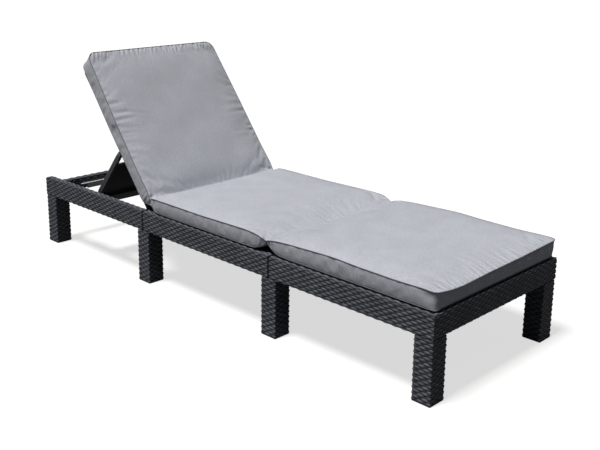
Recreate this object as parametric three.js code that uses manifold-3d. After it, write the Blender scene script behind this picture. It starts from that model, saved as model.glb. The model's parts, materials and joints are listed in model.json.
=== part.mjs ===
// Reclining sun lounger: a moulded frame with a flat-weave face on eight legs, a slatted backrest
// that a folding prop holds up, and a long boxed cushion. Millimetres, +Z up, +X towards the foot
// end, -Y the near side. The origin is on the ground, under the middle of the frame.

import * as THREE from 'three';
import { mergeVertices } from 'three/addons/utils/BufferGeometryUtils.js';
import Module from 'manifold-3d';

const wasm = await Module();
wasm.setup();

// Driving dimensions of the frame.
const LENGTH = 1950;
const WIDTH = 650;
const RAIL_TOP = 272;
const RAIL_HEIGHT = 75;
const RAIL_WIDTH = 29;
const RAIL_WALL = 3;
const RAIL_ROUND = 6;
const HEAD_RAIL_TOP = 247;
const LEG_SIDE = 67;
const LEG_WALL = 3;
const HINGE_SEAM = -318;
const SEAT_SEAM = 338;
const SEAM_GAP = 9;
const CLEARANCE = 0.3;

// Driving dimensions of the backrest, its prop and the racks that hold the prop's foot.
const REST_ANGLE = 51;
const PIVOT_X = -336;
const PIVOT_Z = 239;
const BACK_LENGTH = 612;
const BACK_HALF_WIDTH = 288;
const BACK_UNDERSIDE = 14;
const BACK_FACE = 33;
const PROP_REACH = 262;
const PROP_FOOT_RADIUS = 7;
const RACK_ANGLES = [30, 41, REST_ANGLE, 60, 69];

// Driving dimensions of the decks and the cushion.
const DECK_BASE = 247;
const DECK_THICKNESS = 22;
const SLAT_WIDTH = 60;
const SLOT_WIDTH = 18;
const CUSHION_HALF_WIDTH = 320;
const CUSHION_HEIGHT = 47;
const BACK_PAD_HALF_WIDTH = 310;
const BACK_PAD_LENGTH = 614;
const BACK_PAD_THICKNESS = 52;

// Places that several pieces share.
const HALF_LENGTH = LENGTH / 2;
const HALF_WIDTH = WIDTH / 2;
const RAIL_INNER = HALF_WIDTH - RAIL_WIDTH;
const RAIL_BASE = RAIL_TOP - RAIL_HEIGHT;
const INSIDE = RAIL_INNER - CLEARANCE;
const TENON_HALF = (RAIL_WIDTH - 2 * RAIL_WALL) / 2 - CLEARANCE;
const TENON_MIDDLE = HALF_WIDTH - RAIL_WIDTH / 2;
const SCREW_Z = 226;
const SCREW_RADIUS = 2.5;
const HINGE_PIN_RADIUS = 6;
const PROP_PIN_RADIUS = 5;
const BAR_RADIUS = 5;
const RUNNING_GAP = 0.5;
const ARM_INNER = 274;
const ARM_OUTER = 286;
const DEGREE = Math.PI / 180;
const SIDES = [
  { name: 'near', sign: -1 },
  { name: 'far', sign: 1 },
];

const plastic = (color, roughness) => new THREE.MeshStandardMaterial({ color, roughness, metalness: 0 });
const MATERIALS = {
  weave: plastic(0x3c3f44, 0.62),
  deck: plastic(0x26282b, 0.7),
  prop: plastic(0x2e3034, 0.6),
  grip: plastic(0x8f8f97, 0.55),
  glide: plastic(0x17181a, 0.8),
  steel: new THREE.MeshStandardMaterial({ color: 0x9a9da1, roughness: 0.35, metalness: 1 }),
  fabric: plastic(0xa9adb8, 0.95),
};

// Booleans: a closed three.js geometry goes in, and a closed three.js geometry comes out.
function solid(geometry) {
  const bare = geometry.clone();
  bare.deleteAttribute('normal');
  bare.deleteAttribute('uv');
  const merged = mergeVertices(bare, 1e-4);
  const vertProperties = new Float32Array(merged.attributes.position.array);
  const triVerts = new Uint32Array(merged.index.array);
  return new wasm.Manifold(new wasm.Mesh({ numProp: 3, vertProperties, triVerts }));
}

function geometryOf(body) {
  const mesh = body.getMesh();
  const geometry = new THREE.BufferGeometry();
  geometry.setAttribute('position', new THREE.BufferAttribute(new Float32Array(mesh.vertProperties), 3));
  geometry.setIndex(new THREE.BufferAttribute(new Uint32Array(mesh.triVerts), 1));
  geometry.computeVertexNormals();
  return geometry;
}

function cut(geometry, ...tools) {
  let body = solid(geometry);
  for (const tool of tools) {
    body = body.subtract(solid(tool));
  }
  return geometryOf(body);
}

function join(geometry, ...others) {
  let body = solid(geometry);
  for (const other of others) {
    body = body.add(solid(other));
  }
  return geometryOf(body);
}

// A box between two corners; the two ends of a range may come in either order.
function box([xa, xb], [ya, yb], [za, zb]) {
  const geometry = new THREE.BoxGeometry(Math.abs(xb - xa), Math.abs(yb - ya), Math.abs(zb - za));
  return geometry.translate((xa + xb) / 2, (ya + yb) / 2, (za + zb) / 2);
}

// An outline in (x, z), pushed along Y from the lower to the higher of two places.
function alongY(shape, ya, yb) {
  const depth = Math.abs(yb - ya);
  const geometry = new THREE.ExtrudeGeometry(shape, { depth, bevelEnabled: false, curveSegments: 8 });
  const axes = [new THREE.Vector3(1, 0, 0), new THREE.Vector3(0, 0, 1), new THREE.Vector3(0, -1, 0)];
  geometry.applyMatrix4(new THREE.Matrix4().makeBasis(...axes));
  return geometry.translate(0, Math.max(ya, yb), 0);
}

// An outline in (y, z), pushed along X.
function alongX(shape, xa, xb) {
  const depth = xb - xa;
  const geometry = new THREE.ExtrudeGeometry(shape, { depth, bevelEnabled: false, curveSegments: 3 });
  const axes = [new THREE.Vector3(0, 1, 0), new THREE.Vector3(0, 0, 1), new THREE.Vector3(1, 0, 0)];
  geometry.applyMatrix4(new THREE.Matrix4().makeBasis(...axes));
  return geometry.translate(xa, 0, 0);
}

// An outline in (x, y), pushed up Z.
function alongZ(shape, za, zb) {
  const geometry = new THREE.ExtrudeGeometry(shape, { depth: zb - za, bevelEnabled: false });
  return geometry.translate(0, 0, za);
}

function polygon(points) {
  return new THREE.Shape(points.map(([x, y]) => new THREE.Vector2(x, y)));
}

// A turned piece on the Y axis through (x, z): steps are [radius, from, to] along Y, in order.
function turned(steps, x, z, segments) {
  const profile = [new THREE.Vector2(0, steps[0][1])];
  for (const [radius, from, to] of steps) {
    profile.push(new THREE.Vector2(radius, from), new THREE.Vector2(radius, to));
  }
  profile.push(new THREE.Vector2(0, steps[steps.length - 1][2]));
  return new THREE.LatheGeometry(profile, segments).translate(x, 0, z);
}

// A turned piece whose steps run outwards from the middle of the lounger on one side of it.
function turnedOutwards(side, steps, x, z, segments = 20) {
  if (side.sign > 0) {
    return turned(steps, x, z, segments);
  }
  const mirrored = steps.map(([radius, from, to]) => [radius, -to, -from]).reverse();
  return turned(mirrored, x, z, segments);
}

// A round hole along Y.
function bore(radius, x, z, ya, yb) {
  return turned([[radius, Math.min(ya, yb), Math.max(ya, yb)]], x, z, 20);
}

// The outline of a rail: flat underneath, rounded along both top edges, centred on its width.
function railOutline(top) {
  const half = RAIL_WIDTH / 2;
  const shape = new THREE.Shape();
  shape.moveTo(-half, RAIL_BASE);
  shape.lineTo(half, RAIL_BASE);
  shape.lineTo(half, top - RAIL_ROUND);
  shape.absarc(half - RAIL_ROUND, top - RAIL_ROUND, RAIL_ROUND, 0, Math.PI / 2, false);
  shape.lineTo(-half + RAIL_ROUND, top);
  shape.absarc(-half + RAIL_ROUND, top - RAIL_ROUND, RAIL_ROUND, Math.PI / 2, Math.PI, false);
  shape.closePath();
  return shape;
}

const lounger = new THREE.Group();

function add(parent, name, geometry, material) {
  const mesh = new THREE.Mesh(geometry, MATERIALS[material]);
  mesh.name = name;
  parent.add(mesh);
  return mesh;
}

// The corner at the foot end is mitred: this wedge takes one side of the mitre line away.
function mitre(side, ofCrossRail) {
  const corner = HALF_LENGTH - RAIL_WIDTH;
  const shift = CLEARANCE * Math.SQRT1_2 * (ofCrossRail ? 1 : -1);
  const over = 2;
  const inner = [corner - over, side.sign * (RAIL_INNER - over - shift)];
  const outer = [HALF_LENGTH + over, side.sign * (HALF_WIDTH + over - shift)];
  const third = ofCrossRail ? [corner - over, outer[1]] : [outer[0], inner[1]];
  return alongZ(polygon([inner, outer, third]), RAIL_BASE - over, RAIL_TOP + over);
}

// Side rails: hollow mouldings, open underneath, in three lengths on each side. The leg tenons
// fill their ends at the seams, where a narrow groove shows.
const RAIL_SPANS = [
  { name: 'head', from: -HALF_LENGTH, to: HINGE_SEAM - SEAM_GAP / 2 },
  { name: 'seat', from: HINGE_SEAM + SEAM_GAP / 2, to: SEAT_SEAM - SEAM_GAP / 2 },
  { name: 'foot', from: SEAT_SEAM + SEAM_GAP / 2, to: HALF_LENGTH },
];
const SCREW_PLACES = [
  { name: 'hinge', x: HINGE_SEAM + 14 },
  { name: 'seat_inner', x: SEAT_SEAM - 25 },
  { name: 'seat_outer', x: SEAT_SEAM + 25 },
];

function holesNear(side, from, to, depth) {
  const outwards = side.sign * (RAIL_INNER + depth);
  const inwards = side.sign * (RAIL_INNER - 5);
  const holes = [];
  for (const place of SCREW_PLACES) {
    if (place.x > from && place.x < to) {
      holes.push(bore(SCREW_RADIUS + RUNNING_GAP, place.x, SCREW_Z, inwards, outwards));
    }
  }
  if (PIVOT_X > from && PIVOT_X < to) {
    holes.push(bore(HINGE_PIN_RADIUS + RUNNING_GAP, PIVOT_X, PIVOT_Z, inwards, outwards));
  }
  return holes;
}

for (const side of SIDES) {
  const middle = side.sign * TENON_MIDDLE;
  const cavity = [middle - TENON_HALF - CLEARANCE, middle + TENON_HALF + CLEARANCE];
  for (const span of RAIL_SPANS) {
    const start = span.name === 'head' ? span.from + RAIL_WALL : span.from - 1;
    const shell = alongX(railOutline(RAIL_TOP), span.from, span.to).translate(0, middle, 0);
    const cuts = [box([start, span.to + 1], cavity, [RAIL_BASE - 1, RAIL_TOP - RAIL_WALL])];
    cuts.push(...holesNear(side, span.from, span.to, RAIL_WALL + 1));
    if (span.name === 'foot') {
      cuts.push(mitre(side, false));
    }
    add(lounger, `side_rail_${span.name}_${side.name}`, cut(shell, ...cuts), 'weave');
  }
}

// Head cross rail: lower than the side rails, so that the backrest lies flat over it.
{
  const shell = alongX(railOutline(HEAD_RAIL_TOP), -INSIDE, INSIDE).rotateZ(-Math.PI / 2);
  const middle = -HALF_LENGTH + RAIL_WIDTH / 2;
  shell.translate(middle, 0, 0);
  const hollow = [middle - TENON_HALF, middle + TENON_HALF];
  const reach = INSIDE - RAIL_WALL;
  const cavity = box(hollow, [-reach, reach], [RAIL_BASE - 1, HEAD_RAIL_TOP - RAIL_WALL]);
  add(lounger, 'cross_rail_head', cut(shell, cavity), 'weave');
}

// Head grip: a smooth plate on the head cross rail's inner face, with a longer lip along its top.
{
  const face = -HALF_LENGTH + RAIL_WIDTH + CLEARANCE;
  const plate = box([face, face + 7], [-151, 151], [RAIL_BASE, RAIL_BASE + 21]);
  const lip = box([face, face + 8], [-180, 180], [RAIL_BASE + 20.5, RAIL_BASE + 24]);
  add(lounger, 'head_grip', join(plate, lip), 'grip');
}

// Foot cross rail: full height, mitred into the side rails, with a ledge for the foot deck.
const LEDGE_DEPTH = 15;
const LEDGE_HEIGHT = 12;
{
  const middle = HALF_LENGTH - RAIL_WIDTH / 2;
  const shell = alongX(railOutline(RAIL_TOP), -HALF_WIDTH, HALF_WIDTH).rotateZ(-Math.PI / 2);
  shell.translate(middle, 0, 0);
  const hollow = [middle - TENON_HALF, middle + TENON_HALF];
  const cavity = box(hollow, [-HALF_WIDTH - 1, HALF_WIDTH + 1], [RAIL_BASE - 1, RAIL_TOP - RAIL_WALL]);
  const rail = cut(shell, cavity, mitre(SIDES[0], true), mitre(SIDES[1], true));
  const face = HALF_LENGTH - RAIL_WIDTH;
  const ledgeX = [face - LEDGE_DEPTH, face + RAIL_WALL / 2];
  const ledge = box(ledgeX, [-INSIDE + 1, INSIDE - 1], [DECK_BASE - LEDGE_HEIGHT, DECK_BASE]);
  add(lounger, 'cross_rail_foot', join(rail, ledge), 'weave');
}

// Legs: square hollow mouldings, each with a tenon that plugs up into the side rail, and each
// standing on a glide pushed into its open bottom.
const GLIDE_STEP = 3;
const GLIDE_PLUG = 11;
const LEG_ROOF = 10;
const TENON_TOP = 262;
const TENON_REACH = 30;
const TENON_END = HALF_LENGTH - RAIL_WALL - CLEARANCE;
const TENON_START = HALF_LENGTH - LEG_SIDE + 4;
const LEGS = [
  { name: 'head', middle: -HALF_LENGTH + LEG_SIDE / 2, tenon: [-TENON_END, -TENON_START] },
  { name: 'hinge', middle: HINGE_SEAM, tenon: [HINGE_SEAM - TENON_REACH, HINGE_SEAM + TENON_REACH] },
  { name: 'seat', middle: SEAT_SEAM, tenon: [SEAT_SEAM - TENON_REACH, SEAT_SEAM + TENON_REACH] },
  { name: 'foot', middle: HALF_LENGTH - LEG_SIDE / 2, tenon: [TENON_START, TENON_END] },
];
const LOCKING_TAB = 12;

for (const side of SIDES) {
  const middle = side.sign * TENON_MIDDLE;
  const across = [side.sign * HALF_WIDTH, side.sign * (HALF_WIDTH - LEG_SIDE)];
  const acrossHollow = [across[0] - side.sign * LEG_WALL, across[1] + side.sign * LEG_WALL];
  for (const leg of LEGS) {
    const along = [leg.middle - LEG_SIDE / 2, leg.middle + LEG_SIDE / 2];
    const top = RAIL_BASE - CLEARANCE;
    const post = box(along, across, [GLIDE_STEP, top]);
    const hollowAlong = [along[0] + LEG_WALL, along[1] - LEG_WALL];
    const hollow = box(hollowAlong, acrossHollow, [GLIDE_STEP - 1, top - LEG_ROOF]);
    const pieces = [box(leg.tenon, [middle - TENON_HALF, middle + TENON_HALF], [top - 2, TENON_TOP])];
    if (leg.name === 'seat') {
      const tab = [along[0] - LOCKING_TAB, along[0] + 1];
      pieces.push(box(tab, [middle - TENON_HALF, middle + TENON_HALF], [top - 6, top]));
    }
    const body = join(cut(post, hollow), ...pieces);
    const holes = holesNear(side, leg.tenon[0], leg.tenon[1], 20);
    add(lounger, `leg_${leg.name}_${side.name}`, cut(body, ...holes), 'weave');

    const inset = LEG_WALL + CLEARANCE;
    const plugAlong = [along[0] + inset, along[1] - inset];
    const plugAcross = [across[0] - side.sign * inset, across[1] + side.sign * inset];
    const soleAlong = [along[0] + 2, along[1] - 2];
    const soleAcross = [across[0] - side.sign * 2, across[1] + side.sign * 2];
    const sole = box(soleAlong, soleAcross, [0, GLIDE_STEP - CLEARANCE]);
    const plug = box(plugAlong, plugAcross, [1, GLIDE_STEP + GLIDE_PLUG]);
    add(lounger, `glide_${leg.name}_${side.name}`, join(sole, plug), 'glide');
  }
}

// Cross screws: each goes in from the rail's inner face, through the wall and into the tenon.
for (const side of SIDES) {
  for (const place of SCREW_PLACES) {
    const head = [5.5, INSIDE - 3.5, INSIDE];
    const shank = [SCREW_RADIUS, INSIDE, INSIDE + 15];
    add(lounger, `screw_${place.name}_${side.name}`,
      turnedOutwards(side, [head, shank], place.x, SCREW_Z, 12), 'steel');
  }
}

// Hinge beam: ties the hinge legs behind the backrest's swing and carries the seat deck's end.
const SEAT_DECK_START = -292;
const HINGE_BEAM = [[-330, RAIL_BASE], [-270, RAIL_BASE], [-270, DECK_BASE], [-298, DECK_BASE],
  [-298, RAIL_BASE + 16], [-330, RAIL_BASE + 16]];
add(lounger, 'hinge_beam', alongY(polygon(HINGE_BEAM), -INSIDE, INSIDE), 'deck');

// Seat beam: an upturned channel that ties the seat legs and carries both decks' ends.
{
  const half = 18;
  const wall = 4;
  const outline = [[-half, RAIL_BASE], [-half + wall, RAIL_BASE], [-half + wall, DECK_BASE - wall],
    [half - wall, DECK_BASE - wall], [half - wall, RAIL_BASE], [half, RAIL_BASE], [half, DECK_BASE],
    [-half, DECK_BASE]];
  const beam = alongY(polygon(outline), -INSIDE, INSIDE).translate(SEAT_SEAM, 0, 0);
  add(lounger, 'seat_beam', beam, 'deck');
}

// A deck: a flat moulding with two columns of cross slots, and a hollow under every slat.
function deck(from, to, halfWidth, base, thickness, margin) {
  const skin = 4;
  const rib = 4;
  const spine = 12;
  const end = 34;
  const usable = to - from - 2 * end + SLOT_WIDTH;
  const slats = Math.round(usable / (SLAT_WIDTH + SLOT_WIDTH));
  const pitch = usable / slats;
  const cuts = [];
  for (const sign of [-1, 1]) {
    const across = [sign * spine, sign * (halfWidth - margin)];
    for (let i = 0; i < slats; i += 1) {
      const start = from + end + i * pitch;
      const stop = start + pitch - SLOT_WIDTH;
      cuts.push(box([start + rib, stop - rib], across, [base - 1, base + thickness - skin]));
      if (i < slats - 1) {
        cuts.push(box([stop, stop + SLOT_WIDTH], across, [base - 1, base + thickness + 1]));
      }
    }
  }
  return cut(box([from, to], [-halfWidth, halfWidth], [base, base + thickness]), ...cuts);
}

const DECK_REST = DECK_BASE + CLEARANCE;
const SEAT_DECK_END = SEAT_SEAM - CLEARANCE / 2;
const FOOT_DECK_END = HALF_LENGTH - RAIL_WIDTH - CLEARANCE;
add(lounger, 'seat_deck',
  deck(SEAT_DECK_START, SEAT_DECK_END, INSIDE, DECK_REST, DECK_THICKNESS, 20), 'deck');
add(lounger, 'foot_deck',
  deck(SEAT_DECK_END + CLEARANCE, FOOT_DECK_END, INSIDE, DECK_REST, DECK_THICKNESS, 20), 'deck');

// Racks: one on each side rail's inner face. Every notch has an upright stop on its head side and
// a ramp on the other, and the prop's foot stands over one notch at each backrest angle.
const RACK_TOP = PIVOT_Z - PROP_FOOT_RADIUS - 1;
{
  const notchDepth = 11;
  const rackBase = RAIL_BASE + 5;
  const footAt = (angle) => PIVOT_X - 2 * PROP_REACH * Math.cos(angle * DEGREE);
  const headEnd = footAt(RACK_ANGLES[0]) - 40;
  const footEnd = footAt(RACK_ANGLES[RACK_ANGLES.length - 1]) + 34;
  const outline = [[headEnd, rackBase], [footEnd, rackBase], [footEnd, RACK_TOP]];
  for (const angle of [...RACK_ANGLES].reverse()) {
    const place = footAt(angle);
    const stop = place - PROP_FOOT_RADIUS - 2;
    outline.push([place + 24, RACK_TOP], [place + PROP_FOOT_RADIUS, RACK_TOP - notchDepth]);
    outline.push([stop, RACK_TOP - notchDepth], [stop, RACK_TOP]);
  }
  outline.push([headEnd, RACK_TOP]);
  for (const side of SIDES) {
    const rack = alongY(polygon(outline), side.sign * (ARM_INNER - 2), side.sign * INSIDE);
    add(lounger, `rack_${side.name}`, rack, 'prop');
  }
}

// Hinge pins: pushed through the rail wall into the tenon, with a collar against the rail and a
// head inside the backrest's lug.
const LUG_INNER = 274;
for (const side of SIDES) {
  const steps = [[9, LUG_INNER - 4, LUG_INNER - RUNNING_GAP]];
  steps.push([HINGE_PIN_RADIUS, LUG_INNER - RUNNING_GAP, BACK_HALF_WIDTH + RUNNING_GAP]);
  steps.push([9, BACK_HALF_WIDTH + RUNNING_GAP, INSIDE]);
  steps.push([HINGE_PIN_RADIUS, INSIDE, INSIDE + 15]);
  add(lounger, `hinge_pin_${side.name}`, turnedOutwards(side, steps, PIVOT_X, PIVOT_Z), 'steel');
}

// Cushion, lying parts: seat pad and foot pad, with a sewn crease between them.
const CUSHION_CREASE = 315;
const CREASE_GAP = 6;
const SEAT_PAD_START = -268;
{
  const height = [RAIL_TOP + CLEARANCE, RAIL_TOP + CLEARANCE + CUSHION_HEIGHT];
  const across = [-CUSHION_HALF_WIDTH, CUSHION_HALF_WIDTH];
  const seat = box([SEAT_PAD_START, CUSHION_CREASE - CREASE_GAP / 2], across, height);
  const foot = box([CUSHION_CREASE + CREASE_GAP / 2, HALF_LENGTH], across, height);
  add(lounger, 'cushion_seat', seat, 'fabric');
  add(lounger, 'cushion_foot', foot, 'fabric');
}

// Backrest, drawn lying flat with the hinge axis at its origin and the head end towards -X, then
// turned up to its rest angle.
const backrest = new THREE.Group();
backrest.position.set(PIVOT_X, 0, PIVOT_Z);
backrest.rotation.y = REST_ANGLE * DEGREE;
lounger.add(backrest);

// Brackets: each is a lug on a foot that is fixed under the deck, bored for the pin at (x, 0).
const HINGE_LUG_RADIUS = 13;
const PROP_LUG_RADIUS = 11;
const PROP_LUG = [256, 270];
const BACK_MARGIN = 34;
const BRACKET_FOOT = 5;

function bracket(side, x, radius, [inner, outer], pinRadius) {
  const top = BACK_UNDERSIDE - CLEARANCE;
  const shape = new THREE.Shape();
  shape.moveTo(x + radius, top);
  shape.lineTo(x - 2 * radius, top);
  shape.lineTo(x - 2 * radius, top - BRACKET_FOOT);
  shape.lineTo(x - radius, top - BRACKET_FOOT);
  shape.lineTo(x - radius, 0);
  shape.absarc(x, 0, radius, Math.PI, 2 * Math.PI, false);
  shape.closePath();
  const lug = alongY(shape, side.sign * inner, side.sign * outer);
  return cut(lug, bore(pinRadius + RUNNING_GAP, x, 0, side.sign * (inner - 2), side.sign * (outer + 2)));
}

for (const side of SIDES) {
  const hingeLug = bracket(side, 0, HINGE_LUG_RADIUS, [LUG_INNER, BACK_HALF_WIDTH], HINGE_PIN_RADIUS);
  const propLug = bracket(side, -PROP_REACH, PROP_LUG_RADIUS, PROP_LUG, PROP_PIN_RADIUS);
  add(backrest, `hinge_bracket_${side.name}`, hingeLug, 'prop');
  add(backrest, `prop_bracket_${side.name}`, propLug, 'prop');
}

const BACK_DECK_DEPTH = BACK_FACE - BACK_UNDERSIDE;
add(backrest, 'backrest_deck',
  deck(-BACK_LENGTH, 4, BACK_HALF_WIDTH, BACK_UNDERSIDE, BACK_DECK_DEPTH, BACK_MARGIN), 'deck');

// Prop pins: each runs through a backrest lug and a prop arm, with a head at both ends.
for (const side of SIDES) {
  const steps = [[8, PROP_LUG[0] - 4, PROP_LUG[0] - RUNNING_GAP]];
  steps.push([PROP_PIN_RADIUS, PROP_LUG[0] - RUNNING_GAP, ARM_OUTER + RUNNING_GAP]);
  steps.push([8, ARM_OUTER + RUNNING_GAP, ARM_OUTER + 3]);
  add(backrest, `prop_pin_${side.name}`, turnedOutwards(side, steps, -PROP_REACH, 0), 'steel');
}

// Cushion, back pad: its lower end is cut back so that it clears the seat pad at every angle.
{
  const under = BACK_FACE + CLEARANCE;
  const face = under + BACK_PAD_THICKNESS;
  const start = 32;
  const end = start + BACK_PAD_LENGTH;
  const outline = [[-end, under], [-start - 12, under], [-start - 30, face], [-end, face]];
  const pad = alongY(polygon(outline), -BACK_PAD_HALF_WIDTH, BACK_PAD_HALF_WIDTH);
  add(backrest, 'cushion_back', pad, 'fabric');
}

// Prop, drawn folded flat under the backrest: the prop pins are on its origin and its foot is at
// x = -PROP_REACH. The foot stays at the hinge's height, because the reach from hinge to prop pin
// equals the reach from prop pin to foot, so the prop turns twice as far as the backrest.
const prop = new THREE.Group();
prop.position.set(-PROP_REACH, 0, 0);
prop.rotation.y = -2 * REST_ANGLE * DEGREE;
backrest.add(prop);

// An arm: a tapering bar, thin towards the rack and deeper towards the backrest.
const ARM_DEPTH = 13;
const ARM_HEAD_RADIUS = 11;
const CROSS_BAR_AT = -66;
function armOutline() {
  const shape = new THREE.Shape();
  shape.moveTo(0, -PROP_FOOT_RADIUS);
  shape.absarc(0, 0, ARM_HEAD_RADIUS, -Math.PI / 5, Math.PI / 2, false);
  shape.lineTo(-24, ARM_DEPTH);
  shape.lineTo(-PROP_REACH + 40, ARM_DEPTH);
  shape.absarc(-PROP_REACH, 0, PROP_FOOT_RADIUS, Math.PI / 2, 1.5 * Math.PI, false);
  shape.closePath();
  return shape;
}

for (const side of SIDES) {
  const arm = alongY(armOutline(), side.sign * ARM_INNER, side.sign * ARM_OUTER);
  const holeY = [side.sign * (ARM_INNER - 2), side.sign * (ARM_OUTER + 2)];
  const pinHole = bore(PROP_PIN_RADIUS + RUNNING_GAP, 0, 0, ...holeY);
  const footHole = bore(BAR_RADIUS + CLEARANCE, -PROP_REACH, 0, ...holeY);
  add(prop, `prop_arm_${side.name}`, cut(arm, pinHole, footHole), 'prop');
}

// The foot bar passes through both arms and ends in a cap on each side; the cross bar butts
// between the arms near the pins.
const BAR_END = ARM_OUTER + 5;
add(prop, 'prop_foot_bar', turned([[BAR_RADIUS, -BAR_END, BAR_END]], -PROP_REACH, 0, 20), 'prop');
const CROSS_BAR_HALF = ARM_INNER - CLEARANCE;
const crossBar = turned([[BAR_RADIUS, -CROSS_BAR_HALF, CROSS_BAR_HALF]], CROSS_BAR_AT, 2, 20);
add(prop, 'prop_cross_bar', crossBar, 'prop');
for (const side of SIDES) {
  const ya = side.sign * (ARM_OUTER + CLEARANCE);
  const yb = side.sign * (BAR_END + 2);
  const cap = bore(PROP_FOOT_RADIUS, -PROP_REACH, 0, ya, yb);
  const socketY = [ya - side.sign, side.sign * (BAR_END + CLEARANCE)];
  const socket = bore(BAR_RADIUS + CLEARANCE, -PROP_REACH, 0, ...socketY);
  add(prop, `prop_cap_${side.name}`, cut(cap, socket), 'glide');
}

// The web: a thin panel between the arms, below the cross bar.
const WEB_ENDS = [-PROP_REACH + BAR_RADIUS + 3, CROSS_BAR_AT - BAR_RADIUS - 3];
add(prop, 'prop_web', box(WEB_ENDS, [-CROSS_BAR_HALF, CROSS_BAR_HALF], [3, 8]), 'prop');

// The toe: a sleeve around the foot bar with a flat lip that hangs below it, between the racks.
const TOE_HALF = 268;
const TOE_LENGTH = 48;
{
  const sleeve = turned([[BAR_RADIUS + 3, -TOE_HALF, TOE_HALF]], -PROP_REACH, 0, 20);
  const lip = box([-PROP_REACH - TOE_LENGTH, -PROP_REACH], [-TOE_HALF, TOE_HALF], [-2, 3]);
  const hole = bore(BAR_RADIUS + CLEARANCE, -PROP_REACH, 0, -TOE_HALF - 2, TOE_HALF + 2);
  add(prop, 'prop_toe', cut(join(sleeve, lip), hole), 'prop');
}

export default lounger;
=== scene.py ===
# Reclining sun lounger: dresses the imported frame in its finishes, one section for each piece.
import json
import math

import bmesh
import bpy
import numpy as np
from mathutils import Matrix, Vector


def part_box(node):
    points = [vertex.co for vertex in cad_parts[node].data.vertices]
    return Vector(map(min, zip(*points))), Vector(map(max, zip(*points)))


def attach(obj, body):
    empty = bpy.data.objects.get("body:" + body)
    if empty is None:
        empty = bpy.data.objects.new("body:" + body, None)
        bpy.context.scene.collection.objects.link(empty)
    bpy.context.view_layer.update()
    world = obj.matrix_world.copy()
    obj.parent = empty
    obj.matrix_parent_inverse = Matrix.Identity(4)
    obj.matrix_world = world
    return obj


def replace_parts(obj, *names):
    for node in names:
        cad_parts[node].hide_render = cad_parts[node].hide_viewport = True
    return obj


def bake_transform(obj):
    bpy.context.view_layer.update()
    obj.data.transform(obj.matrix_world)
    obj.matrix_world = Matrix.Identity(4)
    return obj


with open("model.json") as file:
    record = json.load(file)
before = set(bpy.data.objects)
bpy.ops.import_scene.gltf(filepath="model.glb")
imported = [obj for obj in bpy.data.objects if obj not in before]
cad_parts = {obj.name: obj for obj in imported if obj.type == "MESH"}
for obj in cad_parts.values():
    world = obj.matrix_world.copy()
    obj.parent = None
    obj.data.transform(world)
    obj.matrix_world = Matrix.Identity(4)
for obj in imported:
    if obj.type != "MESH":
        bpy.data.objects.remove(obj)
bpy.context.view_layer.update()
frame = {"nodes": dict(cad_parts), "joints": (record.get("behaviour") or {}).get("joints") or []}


# ---------------------------------------------------------------------------------------------
# Camera, floor and light. The camera stands beyond the foot end on the near side, a little above
# the cushion. One soft sun stands high over the near side, and the sky is kept dim, so that the
# faces towards the foot end fall into shade.
VIEW_AZIMUTH = math.radians(44.04)
VIEW_ELEVATION = math.radians(14.28)
VIEW_ROLL = math.radians(0.74)
VIEW_DISTANCE = 3.351
VIEW_ASIDE = 0.119
VIEW_RAISED = 0.432
VIEW_LENS = 54.45
VIEW_SHIFT = -0.1

towards = Vector((math.sin(VIEW_AZIMUTH) * math.cos(VIEW_ELEVATION),
                  -math.cos(VIEW_AZIMUTH) * math.cos(VIEW_ELEVATION),
                  math.sin(VIEW_ELEVATION)))
level = Vector((math.cos(VIEW_AZIMUTH), math.sin(VIEW_AZIMUTH), 0))
upright = towards.cross(level)
right = level * math.cos(VIEW_ROLL) + upright * math.sin(VIEW_ROLL)
up = upright * math.cos(VIEW_ROLL) - level * math.sin(VIEW_ROLL)

camera_data = bpy.data.cameras.new("camera")
camera_data.sensor_width = 36
camera_data.lens = VIEW_LENS
camera_data.shift_y = VIEW_SHIFT
camera_data.clip_end = 200
camera = bpy.data.objects.new("camera", camera_data)
turn = Matrix((right, up, towards)).transposed().to_4x4()
place = towards * VIEW_DISTANCE + right * VIEW_ASIDE + up * VIEW_RAISED
camera.matrix_world = Matrix.Translation(place) @ turn
bpy.context.collection.objects.link(camera)
bpy.context.scene.camera = camera
bpy.context.scene.view_settings.view_transform = "Standard"

FLOOR_REACH = 60
FLOOR_GLOW = 0.68
FLOOR_SEEN = (0.3, 0.3, 0.3, 1)
FLOOR_BOUNCE = (0.1, 0.1, 0.1, 1)
SKY_STRENGTH = 0.065
SUN_STRENGTH = 4.1
SUN_WIDTH = math.radians(14)
SUN_FROM = Vector((-0.06, -0.335, 0.93))
floor_mesh = bpy.data.meshes.new("floor")
corners = [(-FLOOR_REACH, -FLOOR_REACH, 0), (FLOOR_REACH, -FLOOR_REACH, 0),
           (FLOOR_REACH, FLOOR_REACH, 0), (-FLOOR_REACH, FLOOR_REACH, 0)]
floor_mesh.from_pydata(corners, [], [(0, 1, 2, 3)])
floor = bpy.data.objects.new("floor", floor_mesh)
bpy.context.collection.objects.link(floor)

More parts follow.
